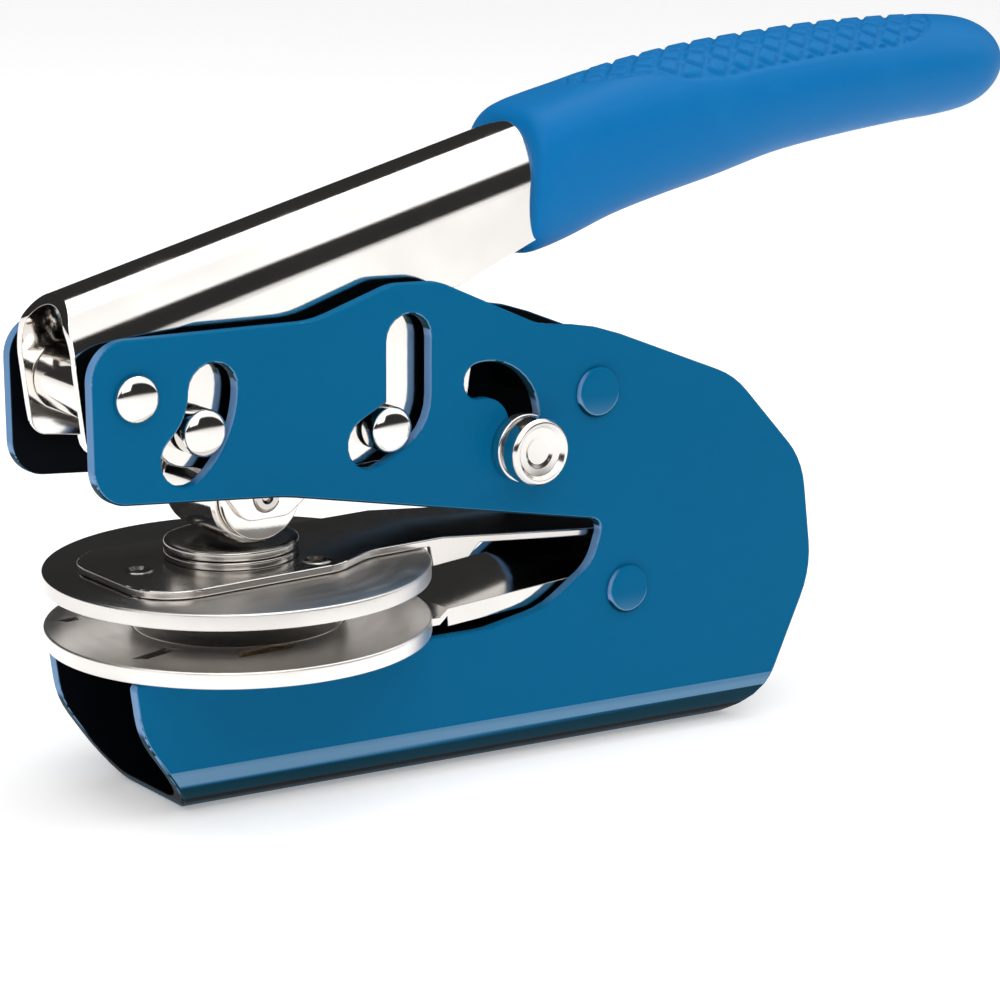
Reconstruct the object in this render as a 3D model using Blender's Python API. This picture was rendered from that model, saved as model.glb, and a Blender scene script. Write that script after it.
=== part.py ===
"""Hand-held paper embosser: folded steel frame, lever with grip, press arm with roller, two-leaf die clip."""
import math

import bmesh
import bpy
from mathutils import Matrix, Vector

# Design frame, millimetres: X towards the grip, Z up, dies level, zero under the lower disc's centre.
# The last step turns the whole tool level on its base and writes it in metres.
MM = 0.001
BASE_SLOPE = math.radians(2.5)      # fall of the base line towards the rear
BASE_AT = (-13.4, -19.3)            # a point of the base line
SHIFT = -0.0434                     # puts the zero in the middle of the flat base, metres

# Folded frame
HALF = 11.3                         # half of the outside width
SHEET = 1.7
BEND = 6.5                          # outside radius along the bottom corners
INNER = HALF - SHEET

# Linkage
PIVOT = (-20.5, 35.5)               # lever pivot, fixed in the frame
CRANK_R = 10.9                      # lever pivot to crank pin
CRANK_REST = -30.0                  # direction of the crank at rest, degrees
GUIDE = (16.4, 26.8)                # guide pin at the rear of the press arm
GUIDE_RISE = math.radians(26.0)     # slope of the hook of the guide slot, where the pin works
AXLE = (-0.6, 19.9)                 # roller axle
LOCK_CENTRE = (31.2, 24.9)          # centre of the lock slot's arc
LOCK_R = 6.4
LOCK_REST = -29.0
LOCK_END = 97.0
HEAD_R = 3.0                        # domed pin heads
SHANK_R = 2.0
UPPER_RIVET = (49.5, 27.5)          # rivets through both cheeks
LOWER_RIVET = (54.6, -0.4)

# Lever
LEVER_HALF = 7.5
LEVER_SHEET = 1.2
LEVER_SLOPE = math.radians(13.3)
LEVER_AXIS = (-24.1, 39.7)          # a point on the centre line of the round back

# Press arm
ARM_IN = 7.7
ARM_OUT = 8.5

# Die clip
DISC_R = 25.0
DISC_T = 2.2
UPPER_Z = 7.35                      # underside of the upper disc
DIE_R = 14.0
DIE_SEAT = 1.2                      # floor of the recess that the lower die sits in
LEAF_T = 1.1
CLIP_HINGE = (66.0, 5.0)
LEAF_RIVETS = ((-14.4, 0.0), (6.3, -9.3), (6.3, 9.3))
CLIP_RIVETS = (62.5, 67.5)

COLOURS = {
    "paint": ((0.0, 0.13, 0.28), 0.4, 0.0),
    "nickel": ((0.78, 0.76, 0.73), 0.18, 1.0),
    "steel": ((0.55, 0.53, 0.5), 0.3, 1.0),
    "die": ((0.42, 0.4, 0.38), 0.45, 1.0),
    "rubber": ((0.02, 0.2, 0.55), 0.6, 0.0),
}


def crank_pin():
    a = math.radians(CRANK_REST)
    return (PIVOT[0] + CRANK_R * math.cos(a), PIVOT[1] + CRANK_R * math.sin(a))


def polar(centre, radius, degrees):
    a = math.radians(degrees)
    return (centre[0] + radius * math.cos(a), centre[1] + radius * math.sin(a))


def base_z(x):
    return BASE_AT[1] - math.tan(BASE_SLOPE) * (x - BASE_AT[0])


def rounded(corners, step=9.0):
    """Corner list of (x, z, radius) turned into an outline with true arcs at the corners."""
    out = []
    n = len(corners)
    for i, (x, z, r) in enumerate(corners):
        p = Vector((x, z))
        a = Vector(corners[i - 1][:2]) - p
        b = Vector(corners[(i + 1) % n][:2]) - p
        turn = math.pi - a.angle(b)
        if r <= 0 or turn < 0.01:
            out.append((x, z))
            continue
        reach = r * math.tan(turn / 2)
        start = p + a.normalized() * reach
        centre = p + (a.normalized() + b.normalized()).normalized() * (r / math.cos(turn / 2))
        spoke = start - centre
        sign = -1.0 if a.x * b.y - a.y * b.x > 0 else 1.0
        count = max(2, math.ceil(math.degrees(turn) / step))
        for k in range(count + 1):
            ang = sign * turn * k / count
            c, s = math.cos(ang), math.sin(ang)
            out.append((centre.x + spoke.x * c - spoke.y * s, centre.y + spoke.x * s + spoke.y * c))
    return out


def link(name, bm):
    bmesh.ops.recalc_face_normals(bm, faces=bm.faces[:])
    mesh = bpy.data.meshes.new(name)
    bm.to_mesh(mesh)
    bm.free()
    obj = bpy.data.objects.new(name, mesh)
    bpy.context.scene.collection.objects.link(obj)
    return obj


def prism(name, outline, y0, y1):
    """Outline in the XZ plane, extruded from y0 to y1."""
    bm = bmesh.new()
    face = bm.faces.new([bm.verts.new((x, y0, z)) for x, z in outline])
    grown = bmesh.ops.extrude_face_region(bm, geom=[face])
    moved = [v for v in grown["geom"] if isinstance(v, bmesh.types.BMVert)]
    bmesh.ops.translate(bm, verts=moved, vec=(0.0, y1 - y0, 0.0))
    bmesh.ops.triangulate(bm, faces=[f for f in bm.faces if len(f.verts) > 4])
    return link(name, bm)


def plan(name, outline, z0, z1):
    """Outline in the XY plane, extruded from z0 to z1."""
    obj = prism(name, outline, z0, z1)
    obj.data.transform(Matrix(((1, 0, 0, 0), (0, 0, 1, 0), (0, 1, 0, 0), (0, 0, 0, 1))))
    obj.data.flip_normals()
    return obj


def slab(name, outline, length):
    """Outline in the YZ plane, extruded along X about zero."""
    obj = prism(name, outline, -length, length)
    obj.data.transform(Matrix(((0, 1, 0, 0), (1, 0, 0, 0), (0, 0, 1, 0), (0, 0, 0, 1))))
    obj.data.flip_normals()
    return obj


def lathe(name, profile, at, axis="Y", segments=28):
    """Profile of (radius, height) turned about the axis through the point."""
    bm = bmesh.new()
    verts = [bm.verts.new((r, 0.0, h)) for r, h in profile]
    loop = verts + [verts[0]] if profile[0][0] > 1e-6 else verts
    edges = [bm.edges.new(pair) for pair in zip(loop, loop[1:])]
    bmesh.ops.spin(
        bm, geom=verts + edges, axis=(0, 0, 1), cent=(0, 0, 0), angle=2 * math.pi, steps=segments,
        use_merge=True,
    )
    bmesh.ops.remove_doubles(bm, verts=bm.verts[:], dist=1e-4)
    obj = link(name, bm)
    if axis == "Y":
        obj.data.transform(Matrix.Rotation(-math.pi / 2, 4, "X"))
        obj.data.transform(Matrix.Translation((at[0], 0.0, at[1])))
    else:
        obj.data.transform(Matrix.Translation(at))
    return obj


def tube(name, at, inner, outer, y0, y1, segments=28):
    profile = [(inner, y0), (outer, y0), (outer, y1), (inner, y1)]
    return lathe(name, profile, at, "Y", segments)


def cut(target, cutter, operation="DIFFERENCE"):
    """Apply a Boolean and remove the tool."""
    mod = target.modifiers.new("cut", "BOOLEAN")
    mod.operation = operation
    mod.solver = "EXACT"
    mod.object = cutter
    bpy.context.view_layer.update()
    evaluated = target.evaluated_get(bpy.context.evaluated_depsgraph_get())
    mesh = bpy.data.meshes.new_from_object(evaluated)
    target.modifiers.clear()
    old = target.data
    target.data = mesh
    mesh.name = target.name
    bpy.data.meshes.remove(old)
    bpy.data.objects.remove(cutter)
    return target


def bore(target, at, radius, segments=32):
    return cut(target, lathe("tool", [(0, -40), (radius, -40), (radius, 40), (0, 40)], at, "Y", segments))


def sweep_slot(path, half, count=10):
    """Outline of a slot of constant width along a path of points."""
    left, right = [], []
    for i, (x, z) in enumerate(path):
        a = path[max(i - 1, 0)]
        b = path[min(i + 1, len(path) - 1)]
        d = Vector((b[0] - a[0], b[1] - a[1])).normalized()
        left.append((x - d.y * half, z + d.x * half))
        right.append((x + d.y * half, z - d.x * half))

    def cap(centre, start, sign):
        a0 = math.atan2(start[1] - centre[1], start[0] - centre[0])
        return [
            (centre[0] + half * math.cos(a0 + sign * math.pi * k / count),
             centre[1] + half * math.sin(a0 + sign * math.pi * k / count))
            for k in range(1, count)
        ]

    return left + cap(path[-1], left[-1], -1) + right[::-1] + cap(path[0], right[0], -1)


def arc_path(centre, radius, start, end, count):
    return [polar(centre, radius, start + (end - start) * k / count) for k in range(count + 1)]


# ---------------------------------------------------------------- frame
def jaw_outline():
    """Side view of one cheek: upper jaw, wedge-shaped throat, lower jaw and rounded heel."""
    front_foot = -13.0
    heel = 78.0
    corners = [
        (-26.5, 42.9, 5.0), (-26.5, 22.8, 4.8), (0.5, 20.2, 30.0), (50.8, 9.7, 1.8),
        (48.8, 4.0, 6.0), (41.0, -0.9, 12.0), (31.0, -2.35, 15.0), (-21.8, -0.4, 0.8),
        (-20.9, -7.6, 12.0), (front_foot, base_z(front_foot), 2.0), (heel, base_z(heel), 12.0),
        (88.0, -3.0, 14.0), (86.0, 13.2, 12.0), (73.5, 26.7, 14.0), (50.0, 36.3, 30.0),
        (40.3, 37.6, 12.0), (24.3, 45.0, 7.0), (17.2, 45.4, 7.0), (5.5, 42.0, 14.0),
    ]
    return rounded(corners, 8.0)


def bend_section(half, floor, radius):
    """Cross-section of a round-bottomed channel, open upwards past the top of the frame."""
    return rounded([(-half, 90.0, 0.0), (-half, floor, radius), (half, floor, radius), (half, 90.0, 0.0)], 15.0)


def make_frame():
    frame = prism("frame", jaw_outline(), -20.0, 20.0)
    for half, lift, radius, action in (
        (HALF, 0.0, BEND, "INTERSECT"),
        (INNER, SHEET, BEND - SHEET, "DIFFERENCE"),
    ):
        bar = slab("tool", bend_section(half, lift, radius), 150.0)
        bar.data.transform(Matrix.Rotation(BASE_SLOPE, 4, "Y"))
        bar.data.transform(Matrix.Translation((BASE_AT[0], 0.0, BASE_AT[1])))
        cut(frame, bar, action)
    slots = [
        sweep_slot(arc_path(PIVOT, CRANK_R, -51.5, -2.0, 8), HEAD_R + 0.4),
        sweep_slot(guide_path(), HEAD_R + 0.35),
        sweep_slot(arc_path(LOCK_CENTRE, LOCK_R, LOCK_REST, LOCK_END, 14), 2.4),
    ]
    for index, outline in enumerate(slots):
        near_only = index == 2
        cut(frame, prism("tool", outline, -20.0, 0.0 if near_only else 20.0))
    for at, radius in ((PIVOT, SHANK_R + 0.15), (UPPER_RIVET, 1.75), (LOWER_RIVET, 1.65)):
        bore(frame, at, radius)
    return frame


def guide_path():
    """Centre line of the hooked guide slot, from the lobe up round the bend to the straight part."""
    lobe = (GUIDE[0] - 3.3 * math.cos(GUIDE_RISE), GUIDE[1] - 3.3 * math.sin(GUIDE_RISE))
    start = (GUIDE[0] + 1.0 * math.cos(GUIDE_RISE), GUIDE[1] + 1.0 * math.sin(GUIDE_RISE))
    r = 3.6
    centre = (start[0] - r * math.sin(GUIDE_RISE), start[1] + r * math.cos(GUIDE_RISE))
    bend = arc_path(centre, r, math.degrees(GUIDE_RISE) - 90.0, 0.0, 5)
    return [lobe] + bend + [(bend[-1][0] + 0.1, 38.0)]


def frame_rivet(name, at, head, shank):
    """Through rivet with a shallow head on each cheek."""
    out = HALF + 0.05
    profile = [
        (0, -out - 0.75), (head * 0.8, -out - 0.7), (head, -out - 0.35), (head, -out), (shank, -out),
        (shank, out), (head, out), (head, out + 0.35), (head * 0.8, out + 0.7), (0, out + 0.75),
    ]
    return lathe(name, profile, at, "Y", 24)


def pin(name, at, seat, reach, shank=SHANK_R):
    """Pin with a domed head on each end; heads start at the seat and stand out to the reach."""
    dome = [(HEAD_R * math.cos(t), reach - 1.2 + 1.2 * math.sin(t)) for t in
            (math.radians(d) for d in (0, 23, 46, 68, 90))]
    dome[-1] = (0.0, reach)
    half = [(shank, seat), (HEAD_R, seat)] + dome
    profile = [(r, -h) for r, h in reversed(half)] + half
    return lathe(name, profile, at, "Y", 24)


# ---------------------------------------------------------------- lever
def lever_outline(grow=0.0):
    corners = [
        (-24.0 - grow, 49.0, 0.8), (-26.5 - grow, 43.6, 3.0), (-26.4 - grow, 39.0, 6.0),
        (-25.2 - grow, 28.6 - grow, 2.2), (-17.0, 27.4 - grow, 3.0), (-11.5, 25.6 - grow, 3.0),
        (-6.5, 26.6 - grow, 4.0), (11.5, 40.4 - grow, 6.0), (30.5, 43.4 - grow, 12.0),
        (41.5, 49.3 - grow, 10.0), (64.0 + grow, 56.5 - grow, 1.5), (64.0 + grow, 75.0, 0.0),
        (-24.0, 60.0, 0.0),
    ]
    return rounded(corners, 12.0)


def hood_section(radius):
    """Inverted channel: round back above, straight flanges going down."""
    arc = [(radius * math.cos(t), radius * math.sin(t)) for t in
           (math.pi * k / 16 for k in range(17))]
    return arc + [(-radius, -60.0), (radius, -60.0)]


def hood(radius, length=200.0):
    bar = slab("tool", hood_section(radius), length)
    bar.data.transform(Matrix.Rotation(-LEVER_SLOPE, 4, "Y"))
    bar.data.transform(Matrix.Translation((LEVER_AXIS[0], 0.0, LEVER_AXIS[1])))
    return bar


def make_lever():
    lever = prism("lever", lever_outline(), -20.0, 20.0)
    cut(lever, hood(LEVER_HALF), "INTERSECT")
    cut(lever, hood(LEVER_HALF - LEVER_SHEET))
    bore(lever, PIVOT, SHANK_R + 0.2)
    bore(lever, crank_pin(), SHANK_R + 0.05)
    return lever


def make_grip():
    """Sleeve over the rear of the lever: squarish at the collar, oval and rounded at its free end."""
    stations = [  # x, z, half height, half width, squareness, slope in degrees
        (41.9, 54.9, 8.2, 8.3, 3.0, -4.0), (42.4, 55.0, 9.1, 8.9, 3.0, -4.0),
        (43.8, 55.3, 9.75, 9.15, 3.0, -3.0), (45.8, 55.8, 9.8, 9.15, 3.0, 0.0),
        (48.5, 56.5, 9.6, 9.1, 3.0, 5.0), (55.0, 58.25, 9.25, 9.0, 2.8, 11.5),
        (63.5, 60.1, 9.35, 9.0, 2.5, 11.5), (74.5, 61.95, 9.25, 9.0, 2.2, 9.0),
        (86.0, 63.6, 8.55, 9.0, 2.0, 7.0), (97.5, 64.6, 8.1, 9.0, 2.0, 4.2),
        (110.0, 65.2, 7.6, 8.8, 2.0, 2.5), (117.0, 65.3, 7.3, 8.5, 2.0, 2.5),
        (122.6, 65.4, 6.7, 7.9, 2.0, 2.5), (126.0, 65.6, 5.6, 6.7, 2.0, 3.0),
        (128.2, 65.8, 3.9, 4.9, 2.0, 3.0), (129.2, 65.9, 1.6, 2.2, 2.0, 3.0),
    ]
    bm = bmesh.new()
    previous = None
    for x, z, high, wide, square, slope in stations:
        place = Matrix.Translation((x, 0.0, z)) @ Matrix.Rotation(math.radians(90.0 - slope), 4, "Y")
        ring = bmesh.ops.create_circle(bm, cap_ends=False, segments=36, radius=1.0)["verts"]
        for v in ring:
            grow = (abs(v.co.x) ** square + abs(v.co.y) ** square) ** (-1.0 / square)
            v.co = place @ Vector((v.co.x * grow * high, v.co.y * grow * wide, 0.0))
        edges = list({e for v in ring for e in v.link_edges})
        if previous:
            bmesh.ops.bridge_loops(bm, edges=previous + edges)
        previous = edges
    bmesh.ops.holes_fill(bm, edges=[e for e in bm.edges if e.is_boundary], sides=0)
    grip = link("grip", bm)
    core = prism("core", lever_outline(0.25), -20.0, 20.0)
    cut(core, hood(LEVER_HALF + 0.25), "INTERSECT")
    return cut(grip, core)


# ---------------------------------------------------------------- press arm
def arm_outline():
    corners = [
        (-15.2, 38.6, 3.0), (-16.4, 26.0, 4.0), (-9.4, 24.8, 4.0), (-3.8, 17.0, 2.7), (2.6, 17.0, 2.7),
        (9.5, 21.9, 5.0), (22.5, 22.4, 4.0), (30.3, 28.4, 2.0), (32.2, 38.0, 3.5), (27.0, 42.0, 4.0),
        (14.5, 42.0, 4.0), (8.0, 39.2, 5.0),
    ]
    return rounded(corners, 15.0)


def make_arm(name, side):
    y0, y1 = sorted((side * ARM_IN, side * ARM_OUT))
    arm = prism(name, arm_outline(), y0, y1)
    bore(arm, crank_pin(), SHANK_R + 0.15)
    bore(arm, GUIDE, SHANK_R + 0.05)
    bore(arm, AXLE, SHANK_R - 0.15)
    return arm


def make_axle():
    """Plain axle staked over both arm plates, with a small dimple at each end."""
    r = SHANK_R - 0.2
    end = ARM_OUT + 0.35
    half = [(r, 0.0), (r, end - 0.2), (r - 0.2, end), (0.8, end), (0.5, end - 0.5), (0.0, end - 0.5)]
    profile = [(a, -h) for a, h in reversed(half)] + half[1:]
    return lathe("roller_axle", profile, AXLE, "Y", 28)


# ---------------------------------------------------------------- die clip
def disc(name, z, recessed=False):
    """Round carrier plate with softened rims, with or without a recess for its die."""
    e = 0.3
    top = z + DISC_T
    profile = [(0, z), (DISC_R - e, z), (DISC_R, z + e), (DISC_R, top - e), (DISC_R - e, top)]
    if recessed:
        profile += [(DIE_R, top), (DIE_R, z + DIE_SEAT), (0, z + DIE_SEAT)]
    else:
        profile += [(0, top)]
    return lathe(name, profile, (0.0, 0.0, 0.0), "Z", 56)


def strip(name, top, plan_outline, thick=LEAF_T):
    """Spring-steel strip: side profile of the given top line, trimmed to the plan outline."""
    under = [(x, z - thick) for x, z in reversed(top)]
    leaf = prism(name, list(top) + under, -20.0, 20.0)
    return cut(leaf, plan("tool", plan_outline, -30.0, 40.0), "INTERSECT")


def leaf_plan(front, half_front, neck0, neck1, half_rear, rear):
    corners = [
        (front, -half_front, 7.0), (neck0, -half_front, 6.0), (neck1, -half_rear, 6.0), (rear, -half_rear, 2.0),
        (rear, half_rear, 2.0), (neck1, half_rear, 6.0), (neck0, half_front, 6.0), (front, half_front, 7.0),
    ]
    return rounded(corners, 12.0)


def upper_line():
    seat = UPPER_Z + DISC_T + 0.1 + LEAF_T
    return [(-22.0, seat), (26.0, seat), (58.0, 7.4), (72.0, 6.3)]


def lower_line():
    return [(-25.0, -0.1), (25.4, -0.1), (26.6, 0.9), (72.0, 3.2)]


def line_at(line, x):
    for (x0, z0), (x1, z1) in zip(line, line[1:]):
        if x0 <= x <= x1:
            return z0 + (z1 - z0) * (x - x0) / (x1 - x0)
    return line[-1][1]


def make_upper_leaf():
    line = upper_line()
    leaf = strip("upper_leaf", line, leaf_plan(-19.4, 12.4, 8.0, 14.5, 9.0, 70.0))
    for side in (-1.0, 1.0):
        y0, y1 = sorted((side * 9.0, side * (9.0 - LEAF_T)))
        ear = [
            (23.9, line_at(line, 23.9) - 0.4), (24.4, 6.9), (30.2, 7.3), (32.4, line_at(line, 32.4) - 0.6),
            (32.4, line_at(line, 32.4) - 0.4),
        ]
        cut(leaf, prism("tool", ear, y0, y1), "UNION")
    for x, y in LEAF_RIVETS:
        cut(leaf, lathe("tool", [(0, -9), (1.3, -9), (1.3, 9), (0, 9)], (x, y, 10.0), "Z", 20))
    for x in CLIP_RIVETS:
        cut(leaf, lathe("tool", [(0, -9), (1.6, -9), (1.6, 9), (0, 9)], (x, 0.0, 7.0), "Z", 20))
    return leaf


def make_lower_leaf():
    line = lower_line()
    leaf = strip("lower_leaf", line, leaf_plan(-19.0, 9.0, 8.0, 14.5, 9.0, 70.0))
    for side in (-1.0, 1.0):
        y0, y1 = sorted((side * 9.0, side * (9.0 - LEAF_T)))
        flange = [
            (26.6, 0.5), (26.6, -1.6), (47.0, -0.6), (49.5, line_at(line, 49.5) - 0.9),
            (49.5, line_at(line, 49.5) - 0.4),
        ]
        cut(leaf, prism("tool", flange, y0, y1), "UNION")
    for x in CLIP_RIVETS:
        cut(leaf, lathe("tool", [(0, -9), (1.6, -9), (1.6, 9), (0, 9)], (x, 0.0, 3.0), "Z", 20))
    return leaf


def leaf_rivet(name, x, y):
    """Dished rivet that holds the upper disc under its leaf."""
    top = UPPER_Z + DISC_T + 0.1 + LEAF_T + 0.05
    profile = [
        (0.0, top + 0.15), (1.0, top + 0.2), (1.5, top + 0.45), (1.9, top + 0.35), (2.0, top + 0.1), (2.0, top),
        (1.2, top), (1.2, top - LEAF_T - 0.05), (0.0, top - LEAF_T - 0.05),
    ]
    return lathe(name, profile, (x, y, 0.0), "Z", 20)


def make_spacer():
    """Block that holds the two leaves apart at the back of the clip."""
    x0, x1 = 59.5, 70.0
    up, low = upper_line(), lower_line()
    gap = 0.06
    outline = [
        (x0, line_at(low, x0) + gap), (x1, line_at(low, x1) + gap),
        (x1, line_at(up, x1) - LEAF_T - 0.35), (x0, line_at(up, x0) - LEAF_T - 0.35),
    ]
    block = prism("clip_spacer", outline, -8.6, 8.6)
    for x in CLIP_RIVETS:
        cut(block, lathe("tool", [(0, -9), (1.6, -9), (1.6, 9), (0, 9)], (x, 0.0, 5.0), "Z", 20))
    return block


def clip_rivet(name, x):
    low = line_at(lower_line(), x) - LEAF_T - 0.15
    high = line_at(upper_line(), x) + 0.45
    profile = [
        (0, low - 0.7), (1.8, low - 0.6), (2.4, low - 0.3), (2.4, low), (1.35, low),
        (1.35, high), (2.4, high), (2.4, high + 0.3), (1.8, high + 0.6), (0, high + 0.7),
    ]
    return lathe(name, profile, (x, 0.0, 0.0), "Z", 20)


def die_plate(name, z0, z1, radius):
    return lathe(name, [(0, z0), (radius, z0), (radius, z1), (0, z1)], (0.0, 0.0, 0.0), "Z", 40)


def press_pad(name, z0, z1, dished):
    e = 0.25
    r = 8.7
    profile = [(0, z0), (r - e, z0), (r, z0 + e), (r, z1 - e), (r - e, z1)]
    profile += [(r - 1.0, z1), (r - 2.2, z1 - 0.25), (0, z1 - 0.3)] if dished else [(0, z1)]
    return lathe(name, profile, (-0.8, 0.0, 0.0), "Z", 32)


# ---------------------------------------------------------------- lock
def make_knob():
    """Turned lock knob: flange, neck and dished head outside, plain shank through the slot."""
    out = HALF + 0.1
    profile = [
        (0, -9.2), (1.4, -9.2), (1.4, -9.55), (2.1, -9.55), (2.1, -out), (4.6, -out), (4.6, -out - 1.5),
        (3.6, -out - 1.6), (3.6, -out - 2.2), (4.5, -out - 2.3), (4.5, -out - 4.4), (4.1, -out - 4.9),
        (2.4, -out - 4.95), (1.6, -out - 4.6), (0, -out - 4.55),
    ]
    return lathe("lock_knob", profile, polar(LOCK_CENTRE, LOCK_R, LOCK_REST), "Y", 32)


def finish(obj, colour, origin=None):
    """Level the tool on its base, go to metres, set the origin and give the piece its material."""
    level = Matrix.Rotation(-BASE_SLOPE, 4, "Y") @ Matrix.Translation((-BASE_AT[0], 0.0, -BASE_AT[1]))
    place = Matrix.Translation((SHIFT, 0.0, 0.0)) @ Matrix.Diagonal((MM, MM, MM, 1.0)) @ level
    obj.data.transform(place)
    if origin:
        point = place @ Vector((origin[0], 0.0, origin[1]))
        obj.data.transform(Matrix.Translation(-point))
        obj.location = point
    rgb, rough, metal = COLOURS[colour]
    mat = bpy.data.materials.new(obj.name)
    mat.use_nodes = True
    shader = mat.node_tree.nodes["Principled BSDF"]
    shader.inputs["Base Color"].default_value = (*rgb, 1.0)
    shader.inputs["Roughness"].default_value = rough
    shader.inputs["Metallic"].default_value = metal
    obj.data.materials.clear()
    obj.data.materials.append(mat)
    for poly in obj.data.polygons:
        poly.use_smooth = True
    obj.data.set_sharp_from_angle(angle=math.radians(30))
    return obj



def build():
    for obj in list(bpy.data.objects):
        bpy.data.objects.remove(obj)
    crank = crank_pin()
    lock_at = polar(LOCK_CENTRE, LOCK_R, LOCK_REST)
    finish(make_frame(), "paint")
    finish(frame_rivet("rivet_upper", UPPER_RIVET, 3.5, 1.6), "paint")
    finish(frame_rivet("rivet_lower", LOWER_RIVET, 3.4, 1.5), "paint")
    finish(pin("pivot_pin", PIVOT, HALF + 0.05, HALF + 1.7), "nickel")
    finish(tube("pivot_bush", PIVOT, SHANK_R + 0.1, 4.5, -6.1, 6.1), "nickel", PIVOT)
    finish(make_lever(), "nickel", PIVOT)
    finish(make_grip(), "rubber", PIVOT)
    finish(pin("crank_pin", crank, ARM_OUT + 0.15, HALF + 1.4), "nickel", PIVOT)
    finish(tube("crank_spacer", crank, SHANK_R + 0.1, 3.4, -6.1, 6.1), "steel", PIVOT)
    finish(make_arm("arm_near", -1.0), "nickel", crank)
    finish(make_arm("arm_far", 1.0), "nickel", crank)
    finish(pin("guide_pin", GUIDE, ARM_OUT + 0.15, HALF + 1.4), "nickel", crank)
    finish(tube("guide_spacer", GUIDE, SHANK_R + 0.1, 3.3, -7.45, 7.45), "steel", crank)
    finish(make_axle(), "steel", crank)
    finish(tube("roller", AXLE, SHANK_R, 6.6, -6.1, 6.1, 40), "nickel", AXLE)
    finish(tube("roller_washer_near", AXLE, SHANK_R, 5.8, -7.5, -6.35, 32), "nickel", crank)
    finish(tube("roller_washer_far", AXLE, SHANK_R, 5.8, 6.35, 7.5, 32), "nickel", crank)
    finish(make_upper_leaf(), "steel", CLIP_HINGE)
    finish(disc("upper_disc", UPPER_Z), "nickel", CLIP_HINGE)
    finish(die_plate("upper_die", UPPER_Z - 3.1, UPPER_Z - 0.05, DIE_R), "die", CLIP_HINGE)
    seat = UPPER_Z + DISC_T + 0.1 + LEAF_T + 0.05
    finish(press_pad("press_pad_base", seat, seat + 1.0, False), "steel", CLIP_HINGE)
    finish(press_pad("press_pad_cap", seat + 1.15, seat + 2.3, True), "steel", CLIP_HINGE)
    for label, (x, y) in zip(("front", "near", "far"), LEAF_RIVETS):
        finish(leaf_rivet("leaf_rivet_" + label, x, y), "steel", CLIP_HINGE)
    finish(make_lower_leaf(), "steel")
    finish(disc("lower_disc", 0.0, recessed=True), "nickel")
    finish(die_plate("lower_die", DIE_SEAT + 0.05, DISC_T - 0.05, DIE_R - 0.2), "die")
    finish(make_spacer(), "steel")
    for label, x in zip(("a", "b"), CLIP_RIVETS):
        finish(clip_rivet("clip_rivet_" + label, x), "nickel")
    finish(make_knob(), "nickel", LOCK_CENTRE)
    finish(tube("lock_washer", lock_at, 1.5, 3.6, -9.5, -9.15, 28), "steel", LOCK_CENTRE)


build()
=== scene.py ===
"""Hand-held paper embosser: finished pieces, materials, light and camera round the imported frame."""

import math

import bmesh
import bpy
from mathutils import Matrix, Vector


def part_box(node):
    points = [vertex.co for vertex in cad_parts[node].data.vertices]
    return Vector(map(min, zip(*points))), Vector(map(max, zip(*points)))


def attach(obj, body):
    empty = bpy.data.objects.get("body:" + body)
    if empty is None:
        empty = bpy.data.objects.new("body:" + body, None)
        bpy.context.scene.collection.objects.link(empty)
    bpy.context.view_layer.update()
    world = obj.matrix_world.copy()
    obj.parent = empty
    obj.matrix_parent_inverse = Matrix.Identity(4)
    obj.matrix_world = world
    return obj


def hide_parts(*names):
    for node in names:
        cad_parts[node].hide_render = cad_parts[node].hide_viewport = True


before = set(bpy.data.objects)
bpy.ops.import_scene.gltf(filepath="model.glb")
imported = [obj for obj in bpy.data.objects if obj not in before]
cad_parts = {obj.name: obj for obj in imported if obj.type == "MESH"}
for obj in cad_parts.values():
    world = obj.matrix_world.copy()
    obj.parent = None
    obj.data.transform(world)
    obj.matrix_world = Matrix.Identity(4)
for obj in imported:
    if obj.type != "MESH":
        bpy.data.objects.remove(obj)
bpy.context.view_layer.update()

# ---------------------------------------------------------------- layout
# Pieces are drawn in millimetres with the dies level, as the tool is built, and set down on its flat base.
MM = 0.001
BASE_SLOPE = math.radians(2.5)
BASE_AT = Vector((-13.4, 0.0, -19.3))
SHIFT = -0.0434
LEVEL = (
    Matrix.Translation((SHIFT, 0.0, 0.0))
    @ Matrix.Diagonal((MM, MM, MM, 1.0))
    @ Matrix.Rotation(-BASE_SLOPE, 4, "Y")
    @ Matrix.Translation(-BASE_AT)
)


def spot(node):
    """Middle of a CAD node, in the drawing's millimetres."""
    low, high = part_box(node)
    return LEVEL.inverted() @ ((low + high) / 2)


HALF = -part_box("frame")[0].y / MM           # centre plane to the outer face of a cheek
SHEET = 1.7
INNER = HALF - SHEET
AXLE = spot("roller_axle")
LOWER_DISC = spot("lower_disc")
UPPER_DISC = spot("upper_disc")
DISC_R = (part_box("lower_disc")[1].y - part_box("lower_disc")[0].y) / MM / 2
DISC_T = 2.2
DIE_R = 14.0
LEVER_SLOPE = math.radians(13.3)
LEVER_AT = Vector((-24.1, 0.0, 39.7))       # a point on the middle line of the lever's round back
LEVER_HALF = 7.5
LEVER_SHEET = 1.2


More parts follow.
